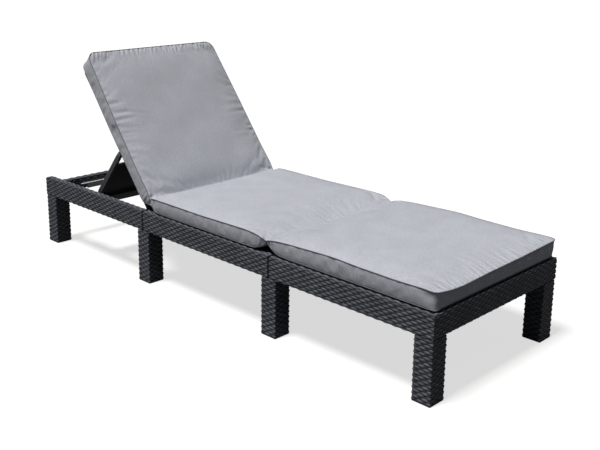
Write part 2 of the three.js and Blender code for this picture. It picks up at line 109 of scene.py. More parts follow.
# The floor looks pale, with a light shadow, but sends little light back up at the lounger.
floor_paint = bpy.data.materials.new("floor")
floor_paint.use_nodes = True
floor_tree = floor_paint.node_tree
floor_shader = floor_tree.nodes["Principled BSDF"]
floor_shader.inputs["Roughness"].default_value = 0.9
floor_shader.inputs["Specular IOR Level"].default_value = 0.0
floor_ray = floor_tree.nodes.new("ShaderNodeLightPath")
floor_mix = floor_tree.nodes.new("ShaderNodeMix")
floor_mix.data_type = "RGBA"
floor_mix.inputs["A"].default_value = FLOOR_BOUNCE
floor_mix.inputs["B"].default_value = FLOOR_SEEN
floor_shader.inputs["Emission Color"].default_value = (1, 1, 1, 1)
floor_glow = floor_tree.nodes.new("ShaderNodeMath")
floor_glow.operation = "MULTIPLY"
floor_glow.inputs[1].default_value = FLOOR_GLOW
floor_tree.links.new(floor_ray.outputs["Is Camera Ray"], floor_glow.inputs[0])
floor_tree.links.new(floor_glow.outputs[0], floor_shader.inputs["Emission Strength"])
floor_tree.links.new(floor_ray.outputs["Is Camera Ray"], floor_mix.inputs["Factor"])
floor_tree.links.new(floor_mix.outputs["Result"], floor_shader.inputs["Base Color"])
floor_mesh.materials.append(floor_paint)

sky = bpy.data.worlds.new("sky")
sky.use_nodes = True
sky_tree = sky.node_tree
sky_tree.nodes["Background"].inputs["Color"].default_value = (0.92, 0.95, 1.0, 1)
sky_tree.nodes["Background"].inputs["Strength"].default_value = SKY_STRENGTH
bpy.context.scene.world = sky

sun_data = bpy.data.lights.new("sun", "SUN")
sun_data.energy = SUN_STRENGTH
sun_data.angle = SUN_WIDTH
sun_data.color = (1.0, 0.985, 0.96)
sun = bpy.data.objects.new("sun", sun_data)
sun.rotation_euler = SUN_FROM.to_track_quat("Z", "Y").to_euler()
bpy.context.collection.objects.link(sun)


# ---------------------------------------------------------------------------------------------
# Woven mouldings: side rails, cross rails and legs. Each is a hollow plastic moulding whose faces
# are cast as a flat weave: strands pass over one stake and under the next, and neighbouring
# strands change places, so every other crossing stands out as a small pillow.
STRAND = 0.00865
STAKE = 0.0168
RELIEF = 0.00085
CROWN = 1.8
RAIL_CORNER = 0.0035
LEG_CORNER = 0.0035


def add_node(tree, kind, values=None, **settings):
    """Adds a node. values are given by socket name or index: a socket is linked, a number is set."""
    node = tree.nodes.new(kind)
    for key, value in settings.items():
        setattr(node, key, value)
    for key, value in (values or {}).items():
        socket = node.inputs[key]
        if isinstance(value, bpy.types.NodeSocket):
            tree.links.new(value, socket)
        else:
            socket.default_value = value
    return node


def sums(tree):
    """A short way to write math nodes: sums(tree)("ADD", a, b) gives the output socket."""
    def work(operation, *values):
        kind = "ShaderNodeMath"
        return add_node(tree, kind, dict(enumerate(values)), operation=operation).outputs[0]
    return work


def woven_tree():
    """A tube with a rounded oblong section, cast as a weave, from z = 0 to its length."""
    tree = bpy.data.node_groups.new("Woven moulding", "GeometryNodeTree")
    face = tree.interface
    face.new_socket("Geometry", in_out="OUTPUT", socket_type="NodeSocketGeometry")
    for name in ("Length", "Width", "Depth", "Corner", "Relief", "Crown"):
        face.new_socket(name, in_out="INPUT", socket_type="NodeSocketFloat")
    for name in ("Strands", "Stakes", "Seed"):
        face.new_socket(name, in_out="INPUT", socket_type="NodeSocketInt")
    face.new_socket("Strands go round", in_out="INPUT", socket_type="NodeSocketFloat")
    face.new_socket("Material", in_out="INPUT", socket_type="NodeSocketMaterial")
    given = tree.nodes.new("NodeGroupInput").outputs
    result = tree.nodes.new("NodeGroupOutput")
    work = sums(tree)
    stake_steps = 6.0
    strand_steps = 5.0
    rounds = given["Strands go round"]
    lengthways = work("SUBTRACT", 1.0, rounds)

    # A grid whose columns follow the strands and whose rows cross them. The two ends of the tube
    # get a spare row or column each, which is drawn in to the axis to close the end.
    columns = work("MULTIPLY_ADD", given["Stakes"], stake_steps,
                   work("MULTIPLY_ADD", lengthways, 2.0, 1.0))
    rows = work("MULTIPLY_ADD", given["Strands"], strand_steps,
                work("ADD", work("MULTIPLY", rounds, 2.0), lengthways))
    grid = add_node(tree, "GeometryNodeMeshGrid", {"Vertices X": columns, "Vertices Y": rows})
    index = add_node(tree, "GeometryNodeInputIndex").outputs[0]
    column = work("FLOOR", work("DIVIDE", work("ADD", index, 0.5), rows))
    row = work("SUBTRACT", index, work("MULTIPLY", column, rows))

    def between(value, low, high):
        return work("MINIMUM", work("MAXIMUM", value, low), high)

    stake_place = between(work("SUBTRACT", column, lengthways), 0.0,
                          work("MULTIPLY", given["Stakes"], stake_steps))
    stake_at = work("DIVIDE", stake_place, stake_steps)
    last_row = work("SUBTRACT", work("MULTIPLY", given["Strands"], strand_steps), rounds)
    row_place = between(work("SUBTRACT", row, rounds), 0.0, last_row)
    strand = work("FLOOR", work("DIVIDE", work("ADD", row_place, 0.5), strand_steps))
    step = work("SUBTRACT", row_place, work("MULTIPLY", strand, strand_steps))
    last_step = strand_steps - 1
    across = add_node(tree, "ShaderNodeMapRange", {0: step, 1: 0.0, 2: last_step, 3: 0.03, 4: 0.97},
                      interpolation_type="SMOOTHSTEP").outputs[0]
    strand_at = work("ADD", strand, across)

    # Height over the middle of the cast face: up or down with the stakes, and rounded across.
    swap = work("SUBTRACT", 1.0, work("MULTIPLY", work("MODULO", strand, 2.0), 2.0))
    wave = work("MULTIPLY", swap, work("COSINE", work("MULTIPLY", stake_at, math.pi)))
    shaped_wave = work("POWER", work("MULTIPLY_ADD", wave, 0.5, 0.5), 1.15)
    flat = work("MULTIPLY_ADD", shaped_wave, 2.0, -1.0)
    round_over = work("MULTIPLY", work("MULTIPLY", across, work("SUBTRACT", 1.0, across)), 4.0)
    height = work("ADD", flat, work("MULTIPLY", given["Crown"], round_over))
    reach = work("ADD", given["Crown"], 1.0)
    lift = work("MULTIPLY", given["Relief"], work("SUBTRACT", height, reach))

    # The outline that the weave is laid on.
    outline = add_node(tree, "GeometryNodeCurvePrimitiveQuadrilateral",
                       {"Width": given["Width"], "Height": given["Depth"]})
    filleted = add_node(tree, "GeometryNodeFilletCurve",
                        {"Curve": outline.outputs[0], "Radius": given["Corner"], "Count": 4},
                        mode="POLY")
    around_strand = work("FRACT", work("DIVIDE", strand_at, given["Strands"]))
    around_stake = work("FRACT", work("DIVIDE", stake_at, given["Stakes"]))
    around = work("ADD", work("MULTIPLY", around_stake, rounds),
                  work("MULTIPLY", around_strand, lengthways))
    along_strand = work("DIVIDE", strand_at, given["Strands"])
    along_stake = work("DIVIDE", stake_at, given["Stakes"])
    along = work("MULTIPLY", given["Length"],
                 work("ADD", work("MULTIPLY", along_strand, rounds),
                      work("MULTIPLY", along_stake, lengthways)))
    sample = add_node(tree, "GeometryNodeSampleCurve",
                      {"Curves": filleted.outputs[0], "Factor": around}, mode="FACTOR")
    out = add_node(tree, "ShaderNodeVectorMath",
                   {0: sample.outputs["Tangent"], 1: (0, 0, 1)}, operation="CROSS_PRODUCT")
    facing = add_node(tree, "ShaderNodeVectorMath",
                      {0: out.outputs[0], 1: sample.outputs["Position"]}, operation="DOT_PRODUCT")
    outwards = work("MULTIPLY", work("SIGN", facing.outputs["Value"]), lift)
    push = add_node(tree, "ShaderNodeVectorMath", {0: out.outputs[0], "Scale": outwards},
                    operation="SCALE")
    spot = add_node(tree, "ShaderNodeVectorMath",
                    {0: sample.outputs["Position"], 1: push.outputs[0]}, operation="ADD")

    first_column = work("LESS_THAN", column, 0.5)
    final_column = work("GREATER_THAN", column, work("SUBTRACT", columns, 1.5))
    first_row = work("LESS_THAN", row, 0.5)
    final_row = work("GREATER_THAN", row, work("SUBTRACT", rows, 1.5))
    end = work("ADD", work("MULTIPLY", lengthways, work("ADD", first_column, final_column)),
               work("MULTIPLY", rounds, work("ADD", first_row, final_row)))
    drawn = add_node(tree, "ShaderNodeVectorMath",
                     {0: spot.outputs[0], "Scale": work("SUBTRACT", 1.0, end)}, operation="SCALE")
    raised = add_node(tree, "ShaderNodeCombineXYZ", {"Z": along})
    placed = add_node(tree, "ShaderNodeVectorMath",
                      {0: drawn.outputs[0], 1: raised.outputs[0]}, operation="ADD")
    shaped = add_node(tree, "GeometryNodeSetPosition",
                      {"Geometry": grid.outputs["Mesh"], "Position": placed.outputs[0]})

    # Two attributes for the finish: how high a point stands, which the finish turns into painted
    # shade, and a chance number per crossing.
    depth = work("DIVIDE", work("ADD", height, 1.0), work("ADD", reach, 1.0))
    high = add_node(tree, "GeometryNodeStoreNamedAttribute",
                    {"Geometry": shaped.outputs[0], "Name": "weave_height", "Value": depth},
                    data_type="FLOAT", domain="POINT")
    crossing = work("MULTIPLY_ADD", strand, 211.0, work("ROUND", stake_at))
    chance = add_node(tree, "FunctionNodeRandomValue", {"ID": crossing, "Seed": given["Seed"]},
                      data_type="FLOAT")
    tinted = add_node(tree, "GeometryNodeStoreNamedAttribute",
                      {"Geometry": high.outputs[0], "Name": "weave_tint",
                       "Value": chance.outputs[1]}, data_type="FLOAT", domain="POINT")
    merged = add_node(tree, "GeometryNodeMergeByDistance",
                      {"Geometry": tinted.outputs[0], "Distance": 0.00002})
    real = add_node(tree, "GeometryNodeRealizeInstances", {"Geometry": merged.outputs[0]})
    finished = add_node(tree, "GeometryNodeSetMaterial",
                        {"Geometry": real.outputs[0], "Material": given["Material"]})
    tree.links.new(finished.outputs[0], result.inputs["Geometry"])
    return tree


def grown(tree, values):
    """Runs a geometry tree with these values and gives its mesh, free of any modifier."""
    holder = bpy.data.objects.new("holder", bpy.data.meshes.new("holder"))
    bpy.context.collection.objects.link(holder)
    modifier = holder.modifiers.new("grow", "NODES")
    modifier.node_group = tree
    for socket in tree.interface.items_tree:
        if socket.in_out == "INPUT" and socket.name in values:
            modifier[socket.identifier] = values[socket.name]
    graph = bpy.context.evaluated_depsgraph_get()
    mesh = bpy.data.meshes.new_from_object(holder.evaluated_get(graph))
    bpy.data.objects.remove(holder)
    return mesh


def grain_group():
    """Fine moulded grain: a small change of roughness and a bump, on object coordinates."""
    group = bpy.data.node_groups.new("Moulded grain", "ShaderNodeTree")
    face = group.interface
    face.new_socket("Scale", in_out="INPUT", socket_type="NodeSocketFloat")
    face.new_socket("Bump", in_out="INPUT", socket_type="NodeSocketFloat")
    face.new_socket("Rough", in_out="INPUT", socket_type="NodeSocketFloat")
    face.new_socket("Spread", in_out="INPUT", socket_type="NodeSocketFloat")
    face.new_socket("Roughness", in_out="OUTPUT", socket_type="NodeSocketFloat")
    face.new_socket("Normal", in_out="OUTPUT", socket_type="NodeSocketVector")
    face.new_socket("Dust", in_out="OUTPUT", socket_type="NodeSocketFloat")
    given = group.nodes.new("NodeGroupInput").outputs
    result = group.nodes.new("NodeGroupOutput")
    where = group.nodes.new("ShaderNodeTexCoord").outputs["Object"]
    fine = add_node(group, "ShaderNodeTexNoise",
                    {"Vector": where, "Scale": given["Scale"], "Detail": 3.0, "Roughness": 0.6})
    broad = add_node(group, "ShaderNodeTexNoise",
                     {"Vector": where, "Scale": 9.0, "Detail": 2.0, "Roughness": 0.5})
    work = sums(group)
    centred = work("SUBTRACT", fine.outputs["Fac"], 0.5)
    rough = work("MULTIPLY_ADD", centred, given["Spread"], given["Rough"])
    bump = add_node(group, "ShaderNodeBump",
                    {"Strength": given["Bump"], "Distance": 0.0004, "Height": fine.outputs["Fac"]})
    group.links.new(rough, result.inputs["Roughness"])
    group.links.new(bump.outputs["Normal"], result.inputs["Normal"])
    group.links.new(broad.outputs["Fac"], result.inputs["Dust"])
    return group


GRAIN = grain_group()


def moulded(name, colour, pale, rough, scale, bump):
    """A moulded plastic: its colour drifts to a paler one in broad clouds, with a fine grain."""
    material = bpy.data.materials.new(name)
    material.use_nodes = True
    tree = material.node_tree
    shader = tree.nodes["Principled BSDF"]
    grain = add_node(tree, "ShaderNodeGroup", node_tree=GRAIN)
    for key, value in {"Scale": scale, "Bump": bump, "Rough": rough, "Spread": 0.18}.items():
        grain.inputs[key].default_value = value
    drift = add_node(tree, "ShaderNodeMix", {"Factor": grain.outputs["Dust"]}, data_type="RGBA")
    drift.inputs["A"].default_value = (*colour, 1)
    drift.inputs["B"].default_value = (*pale, 1)
    tree.links.new(drift.outputs["Result"], shader.inputs["Base Color"])
    tree.links.new(grain.outputs["Roughness"], shader.inputs["Roughness"])
    tree.links.new(grain.outputs["Normal"], shader.inputs["Normal"])
    return material


def woven_finish():
    """Graphite plastic with painted shade: dark in the dips of the weave, paler on the tops of the
    strands.
    """
    dark, pale = (0.074, 0.081, 0.097), (0.112, 0.12, 0.142)
    material = moulded("woven graphite plastic", dark, pale, 0.44, 420, 0.35)
    tree = material.node_tree
    shader = tree.nodes["Principled BSDF"]
    work = sums(tree)
    high = add_node(tree, "ShaderNodeAttribute", attribute_name="weave_height").outputs["Fac"]
    tint = add_node(tree, "ShaderNodeAttribute", attribute_name="weave_tint").outputs["Fac"]
    # Painted shade: the colour is darkened where the weave dips, where shade falls, and lifted on the
    # strand tops, with a chance tint per crossing.
    shade = add_node(tree, "ShaderNodeMapRange", {0: high, 1: 0.1, 2: 0.88, 3: 0.24, 4: 1.14},
                     interpolation_type="SMOOTHSTEP").outputs[0]
    chance = work("MULTIPLY_ADD", tint, 0.5, 0.76)
    shade_and_tint = work("MULTIPLY", shade, chance)
    plain = shader.inputs["Base Color"].links[0].from_socket
    grey = add_node(tree, "ShaderNodeCombineColor", {0: shade_and_tint, 1: shade_and_tint, 2: shade_and_tint})
    shaded = add_node(tree, "ShaderNodeMix", {"Factor": 1.0}, data_type="RGBA",
                      blend_type="MULTIPLY")
    tree.links.new(plain, shaded.inputs["A"])
    tree.links.new(grey.outputs[0], shaded.inputs["B"])
    tree.links.new(shaded.outputs["Result"], shader.inputs["Base Color"])
    return material


WOVEN_TREE = woven_tree()
WOVEN = woven_finish()
SEEDS = iter(range(1, 99))


def woven_mesh(length, width, depth, corner, goes_round):
    """The mesh of one woven tube along z, with a whole, even number of strands and stakes round it."""
    perimeter = 2 * (width + depth)
    across, beside = (length, perimeter) if goes_round else (perimeter, length)
    strands = max(2, round(across / STRAND))
    stakes = max(2, round(beside / STAKE))
    if goes_round:
        stakes = 4 * round(stakes / 4)
    else:
        strands = 2 * round(strands / 2)
    return grown(WOVEN_TREE, {
        "Length": length, "Width": width, "Depth": depth, "Corner": corner, "Relief": RELIEF,
        "Crown": CROWN, "Strands": strands, "Stakes": stakes, "Seed": next(SEEDS),
        "Strands go round": float(goes_round), "Material": WOVEN})


def finished(name, mesh, body, slot, sharp=40):
    """Puts a closed mesh in the scene as a piece of one body, faces outwards, shaded smooth."""
    tidy = bmesh.new()
    tidy.from_mesh(mesh)
    bmesh.ops.recalc_face_normals(tidy, faces=tidy.faces)
    tidy.to_mesh(mesh)
    tidy.free()
    mesh.shade_smooth()
    mesh.set_sharp_from_angle(angle=math.radians(sharp))
    mesh.name = name
    piece = bpy.data.objects.new(name, mesh)
    bpy.context.collection.objects.link(piece)
    if body:
        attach(piece, body)
    return piece


def turned_to(mesh, columns, origin):
    """Turns a mesh so that its own x, y and z lie along these directions, then moves it."""
    turn = Matrix(columns).transposed().to_4x4()
    mesh.transform(Matrix.Translation(origin) @ turn)


def mitred(mesh, corner, keep):
    """Cuts a mesh with an upright plane through corner and keeps the side that keep points to."""
    half = bmesh.new()
    half.from_mesh(mesh)
    found = bmesh.ops.bisect_plane(half, geom=half.verts[:] + half.edges[:] + half.faces[:],
                                   plane_co=corner, plane_no=keep, clear_inner=True)
    rim = [e for e in found["geom_cut"] if isinstance(e, bmesh.types.BMEdge)]
    bmesh.ops.holes_fill(half, edges=rim, sides=0)
    half.to_mesh(mesh)
    half.free()


def rounded_end(mesh, x, z, radius):
    """Rounds the head end of a rail on top: points beyond the arc round (x, z) move in to it."""
    for vertex in mesh.vertices:
        off = Vector((min(0, vertex.co.x - x), max(0, vertex.co.z - z)))
        if off.x < 0 < off.y and off.length > radius:
            off *= radius / off.length
            vertex.co.x = x + off.x
            vertex.co.z = z + off.y


ALONG_X = ((0, 1, 0), (0, 0, 1), (1, 0, 0))
ALONG_Y = ((0, 0, 1), (1, 0, 0), (0, 1, 0))
UPRIGHT = ((1, 0, 0), (0, 1, 0), (0, 0, 1))
MITRE_GAP = 0.0002
HEAD_END_ROUND = 0.012
foot_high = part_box("cross_rail_foot")[1]
seat_rail_low, seat_rail_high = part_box("side_rail_seat_near")
RAIL_WIDTH = seat_rail_high.y - seat_rail_low.y
RAIL_LOW = seat_rail_low.z

for side, sign in (("near", -1), ("far", 1)):
    for part in ("head", "seat", "foot"):
        node = f"side_rail_{part}_{side}"
        low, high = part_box(node)
        size = high - low
        mesh = woven_mesh(size.x, size.y, size.z, RAIL_CORNER, False)
        middle = (low + high) / 2
        turned_to(mesh, ALONG_X, (low.x, middle.y, middle.z))
        if part == "foot":
            corner = Vector((foot_high.x - MITRE_GAP, sign * foot_high.y, 0))
            mitred(mesh, corner, Vector((-1, sign, 0)))
        if part == "head":
            rounded_end(mesh, low.x + HEAD_END_ROUND, high.z - HEAD_END_ROUND, HEAD_END_ROUND)
        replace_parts(finished(node.replace("rail", "rail_woven"), mesh, "frame", "weave"), node)

for node, mitre in (("cross_rail_head", False), ("cross_rail_foot", True)):
    low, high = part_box(node)
    low.x = max(low.x, high.x - RAIL_WIDTH)
    size = high - low
    mesh = woven_mesh(size.y, size.z, size.x, RAIL_CORNER, False)
    middle = (low + high) / 2
    turned_to(mesh, ALONG_Y, (middle.x, low.y, middle.z))
    if mitre:
        for sign in (-1, 1):
            corner = Vector((foot_high.x + MITRE_GAP, sign * foot_high.y, 0))
            mitred(mesh, corner, Vector((1, -sign, 0)))
    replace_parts(finished(node.replace("rail", "rail_woven"), mesh, "frame", "weave"), node)


# ---------------------------------------------------------------------------------------------
# Legs: square woven posts. The plain tenon on top of each plugs up into the hollow side rails and
# shows in the groove between two rails; it is moulded in one with the leg.
TENON_INSET = 0.0033
TENON_END_INSET = 0.005
TENON_ROOT = 0.004
SHOULDER_GAP = 0.0003


def block(low, high):
    """A plain box mesh between two corners, its edges eased a little."""
    box = bmesh.new()
    bmesh.ops.create_cube(box, size=1)
    middle = (Vector(low) + Vector(high)) / 2
    size = Vector(high) - Vector(low)
    for vertex in box.verts:
        vertex.co = Vector(a * b for a, b in zip(vertex.co, size)) + middle
    bmesh.ops.bevel(box, geom=box.edges[:], offset=0.0008, segments=2, affect="EDGES", profile=0.5)
    mesh = bpy.data.meshes.new("block")
    box.to_mesh(mesh)
    box.free()
    return mesh


def joined(meshes):
    """One mesh made of several, each keeping its own closed skin."""
    whole = bmesh.new()
    for mesh in meshes:
        whole.from_mesh(mesh)
    result = bpy.data.meshes.new("joined")
    whole.to_mesh(result)
    whole.free()
    return result


LEG_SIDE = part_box("leg_head_near")[1].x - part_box("leg_head_near")[0].x
for side, sign in (("near", -1), ("far", 1)):
    for part in ("head", "hinge", "seat", "foot"):
        node = f"leg_{part}_{side}"
        low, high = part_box(node)
        low.x = high.x - LEG_SIDE
        shoulder = RAIL_LOW - SHOULDER_GAP
        post = woven_mesh(shoulder - low.z, LEG_SIDE, LEG_SIDE, LEG_CORNER, True)
        middle = (low + high) / 2
        turned_to(post, UPRIGHT, (middle.x, middle.y, low.z))
        outer = sign * (max(abs(low.y), abs(high.y)) - TENON_INSET)
        inner = sign * (abs(outer) - (RAIL_WIDTH - 2 * TENON_INSET))
        span = sorted((outer, inner))
        tenon = block((low.x + TENON_END_INSET, span[0], shoulder - TENON_ROOT),
                      (high.x - TENON_END_INSET, span[1], high.z))
        mesh = joined([post, tenon])
        mesh.polygons.foreach_set("material_index", [0] * len(mesh.polygons))
        mesh.materials.clear()
        mesh.materials.append(WOVEN)
        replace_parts(finished(node.replace("leg", "leg_woven"), mesh, "frame", "weave"), node)


# ---------------------------------------------------------------------------------------------
# Plain moulded pieces: glides, decks, beams, racks, brackets and the prop. They keep the shapes
# that they are made to, with every edge eased as a mould leaves it.
DECK_PLASTIC = moulded("charcoal deck plastic", (0.022, 0.023, 0.026), (0.034, 0.035, 0.038), 0.6,
                       520, 0.5)
PROP_PLASTIC = moulded("prop plastic", (0.05, 0.052, 0.056), (0.07, 0.072, 0.077), 0.52, 600, 0.4)
GLIDE_RUBBER = moulded("glide rubber", (0.012, 0.012, 0.013), (0.022, 0.022, 0.022), 0.75, 300, 0.6)


def steel_finish():
    """Zinc-plated steel: bright, with a faint drift in its roughness."""
    material = moulded("zinc steel", (0.5, 0.51, 0.52), (0.62, 0.62, 0.62), 0.34, 240, 0.2)
    material.node_tree.nodes["Principled BSDF"].inputs["Metallic"].default_value = 1.0
    return material


STEEL = steel_finish()


def eased(node, material, slot, body, width):
    """A copy of a CAD piece with its edges rounded over, which takes that piece's place."""
    copy = bmesh.new()
    copy.from_mesh(frame["nodes"][node].data)
    bmesh.ops.remove_doubles(copy, verts=copy.verts, dist=1e-5)
    flat = math.radians(1)
    bmesh.ops.dissolve_limit(copy, angle_limit=flat, verts=copy.verts, edges=copy.edges)
    edges = [e for e in copy.edges if e.is_manifold and e.calc_face_angle(0) > math.radians(35)]
    bmesh.ops.bevel(copy, geom=edges, offset=width, segments=2, affect="EDGES", profile=0.5,
                    clamp_overlap=True)
    mesh = bpy.data.meshes.new(node)
    copy.to_mesh(mesh)
    copy.free()
    mesh.materials.append(material)
    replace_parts(finished(node + "_moulding", mesh, body, slot), node)


for side in ("near", "far"):
    for part in ("head", "hinge", "seat", "foot"):
        eased(f"glide_{part}_{side}", GLIDE_RUBBER, "glide", "frame", 0.0008)
    eased(f"rack_{side}", PROP_PLASTIC, "prop", "frame", 0.0008)
    eased(f"hinge_bracket_{side}", PROP_PLASTIC, "prop", "backrest", 0.0007)
    eased(f"prop_bracket_{side}", PROP_PLASTIC, "prop", "backrest", 0.0007)
    eased(f"prop_arm_{side}", PROP_PLASTIC, "prop", "prop", 0.001)
for node in ("hinge_beam", "seat_beam"):
    eased(node, DECK_PLASTIC, "deck", "frame", 0.0012)
for node, body in (("seat_deck", "frame"), ("foot_deck", "frame"), ("backrest_deck", "backrest")):
    eased(node, DECK_PLASTIC, "deck", body, 0.001)
GRIP_PLASTIC = moulded("pale grip plastic", (0.5, 0.5, 0.54), (0.58, 0.58, 0.62), 0.42, 500, 0.3)
eased("head_grip", GRIP_PLASTIC, "grip", "frame", 0.0008)
for node in ("prop_web", "prop_foot_bar", "prop_cross_bar", "prop_toe"):
    eased(node, PROP_PLASTIC, "prop", "prop", 0.0008)

for name, node in frame["nodes"].items():
    if name.startswith(("screw_", "hinge_pin_", "prop_pin_", "prop_cap_")):
        finish = GLIDE_RUBBER if name.startswith("prop_cap_") else STEEL
        node.data.materials.clear()
        node.data.materials.append(finish)


# ---------------------------------------------------------------------------------------------
# Cushion: one long boxed pad of woven polyester over foam, sewn through at two creases, shaped here
# for the backrest at its rest angle. Slate piping is sewn into the seams round its top and its
# underside, and the cover is a little larger than the foam, so it puckers at the seams. The piping's
# dark colour is partly painted shade along the seams.
HINGE = next(j for j in frame["joints"] if j["name"] == "backrest_hinge")
REST = -math.radians(HINGE["range_deg"][0])
PIVOT = Vector(HINGE["pos_m"])
PAD_HALF = 0.3175
BACK_PAD_HALF = 0.3075
HEAD_CORNER = 0.032
FOOT_CORNER = 0.017
PAD_STEP = 0.009
PAD_COLUMNS = 80
BAND_ROWS = 5
PAD_CAP = 0.015
BAND_CAP = 0.005


def reclined(u, n):
    """A point of the backrest, u along it from the hinge and n out of its face, as (x, z)."""
    return (PIVOT.x - u * math.cos(REST) + n * math.sin(REST),
            PIVOT.z + u * math.sin(REST) + n * math.cos(REST))


# The top seam and the bottom seam, seen from the side. Each pad is a run of matching points.
HEAD_CREASE = ((-0.288, 0.3165), (-0.2915, 0.294))
KNEE_CREASE = ((0.315, 0.3125), (0.315, 0.303))
back_run = [(reclined(0.648, 0.099), reclined(0.646, 0.038)),
            (reclined(0.55, 0.096), reclined(0.55, 0.034)),
            (reclined(0.30, 0.089), reclined(0.30, 0.034)),
            (reclined(0.15, 0.086), reclined(0.15, 0.034)),
            (reclined(0.075, 0.088), reclined(0.065, 0.034)),
            (reclined(0.050, 0.087), reclined(0.042, 0.036)),
            (reclined(0.041, 0.083), reclined(0.036, 0.045)), HEAD_CREASE]
seat_run = [HEAD_CREASE, ((-0.279, 0.3225), (-0.272, 0.285)), ((-0.268, 0.3265), (-0.262, 0.275)),
            ((-0.24, 0.3275), (-0.235, 0.2735)), ((0.0, 0.3265), (0.0, 0.2735)),
            ((0.22, 0.3305), (0.22, 0.2735)), ((0.27, 0.3285), (0.268, 0.2745)),
            ((0.297, 0.321), (0.293, 0.289)), KNEE_CREASE]
foot_run = [KNEE_CREASE, ((0.331, 0.319), (0.337, 0.289)), ((0.352, 0.3235), (0.366, 0.2755)),
            ((0.41, 0.3285), (0.42, 0.2735)), ((0.53, 0.333), (0.53, 0.2735)),
            ((0.6, 0.3355), (0.6, 0.2735)), ((0.7, 0.332), (0.7, 0.2735)),
            ((0.83, 0.3305), (0.83, 0.2735)), ((0.93, 0.333), (0.93, 0.2735)),
            ((0.971, 0.331), (0.968, 0.2745))]


def walked(run):
    """A run of points, spaced evenly along its top seam: the top points and the bottom points."""
    tops = np.array([point[0] for point in run])
    bottoms = np.array([point[1] for point in run])
    steps = np.linalg.norm(np.diff(tops, axis=0), axis=1)
    marks = np.concatenate(([0.0], np.cumsum(steps)))
    places = np.linspace(0.0, marks[-1], max(3, round(marks[-1] / PAD_STEP)) + 1)
    top = np.stack([np.interp(places, marks, tops[:, k]) for k in range(2)], axis=1)
    bottom = np.stack([np.interp(places, marks, bottoms[:, k]) for k in range(2)], axis=1)
    return top, bottom


def softened(points, times):
    """A run of points with its corners eased; the two ends stay where they are."""
    points = points.copy()
    for _ in range(times):
        points[1:-1] = (points[:-2] + 2 * points[1:-1] + points[2:]) / 4
    return points


pads = [tuple(softened(side, 2) for side in walked(run)) for run in (back_run, seat_run, foot_run)]
pad_top = np.concatenate([pads[0][0], pads[1][0][1:], pads[2][0][1:]])
pad_bottom = np.concatenate([pads[0][1], pads[1][1][1:], pads[2][1][1:]])
pad_along = np.concatenate(([0.0], np.cumsum(np.linalg.norm(np.diff(pad_top, axis=0), axis=1))))
head_station = len(pads[0][0]) - 1
knee_station = head_station + len(pads[1][0]) - 1
head_at = pad_along[head_station]
knee_at = pad_along[knee_station]
pad_length = pad_along[-1]


def half_width(along):
    """Half the width of the cushion: it is drawn in at the creases and narrower on the backrest."""
    pinch = np.exp(-((along - head_at) / 0.018) ** 2) + np.exp(-((along - knee_at) / 0.022) ** 2)
    lying = np.clip((along - head_at + 0.03) / 0.06, 0, 1)
    top_end = np.clip(1 - along / 0.3, 0, 1)
    narrowed = 0.006 * pinch + 0.006 * top_end
    return BACK_PAD_HALF + (PAD_HALF - BACK_PAD_HALF) * lying - narrowed


def pad_grid(profile, tucked):
    """The sheet of points over or under the pad, tucked in at its edge, outer corners rounded."""
    along, share = np.meshgrid(pad_along, np.linspace(-1, 1, PAD_COLUMNS + 1), indexing="ij")
    width = half_width(along) - tucked
    across = share * width
    corner = np.where(along < pad_length / 2, HEAD_CORNER, FOOT_CORNER)
    inset_l = np.maximum(0.0, corner - np.minimum(along, pad_length - along))
    inset_w = np.maximum(0.0, np.abs(across) - (width - corner))
    reach = np.hypot(inset_l, inset_w)
    pull = np.where((inset_l > 0) & (inset_w > 0),
                    np.maximum(inset_l, inset_w) / np.maximum(reach, 1e-9), 1.0)
    end = np.where(along < pad_length / 2, 1.0, -1.0)
    along = along + end * (inset_l - inset_l * pull)
    across = across - np.sign(across) * (inset_w - inset_w * pull)
    x = np.interp(along, pad_along, profile[:, 0])
    z = np.interp(along, pad_along, profile[:, 1])
    return np.stack([x, across, z], axis=2), along


TUCK = 0.004
EDGE_RISE = 0.0045
top_sheet, top_along = pad_grid(pad_top, 0.0)
bottom_sheet, bottom_along = pad_grid(pad_bottom, TUCK)
lying_edge = np.clip((np.abs(bottom_sheet[..., 1]) - PAD_HALF + TUCK + 0.02) / 0.02, 0, 1)
lying_edge = np.maximum(lying_edge, np.clip((bottom_along - pad_length + 0.02) / 0.02, 0, 1))
bottom_sheet[..., 2] += np.where(bottom_along > head_at, EDGE_RISE * lying_edge ** 2, 0)

# The top seam sags a little between the corners of the foot end.
foot_pull = np.clip((top_along - pad_length + 0.09) / 0.09, 0, 1) ** 2
foot_sag = np.interp(top_sheet[..., 1], (-0.3175, -0.25, -0.19, -0.06, 0.12, 0.26, 0.3175),
                     (0.001, -0.009, -0.0125, -0.008, -0.0055, -0.001, 0.001))
top_sheet[..., 2] += foot_pull * foot_sag
rows_l, rows_w = top_sheet.shape[:2]
slope = np.gradient(pad_top, axis=0)
slope /= np.linalg.norm(slope, axis=1)[:, None]
outward = np.stack([-slope[:, 1], np.zeros(rows_l), slope[:, 0]], axis=1)

# A first crown, so that the pressure has something to lift.
FIRST_CROWN = 0.004
pad_share = np.linspace(-1, 1, rows_w)
between_ends = [0, head_station, knee_station, rows_l - 1]
swell = np.zeros(rows_l)
for first, last in zip(between_ends[:-1], between_ends[1:]):
    inside = np.linspace(-1, 1, last - first + 1)
    swell[first:last + 1] = 1 - inside ** 4
crown = FIRST_CROWN * swell[:, None] * (1 - pad_share[None, :] ** 4)
top_sheet = top_sheet + crown[..., None] * outward[:, None, :]

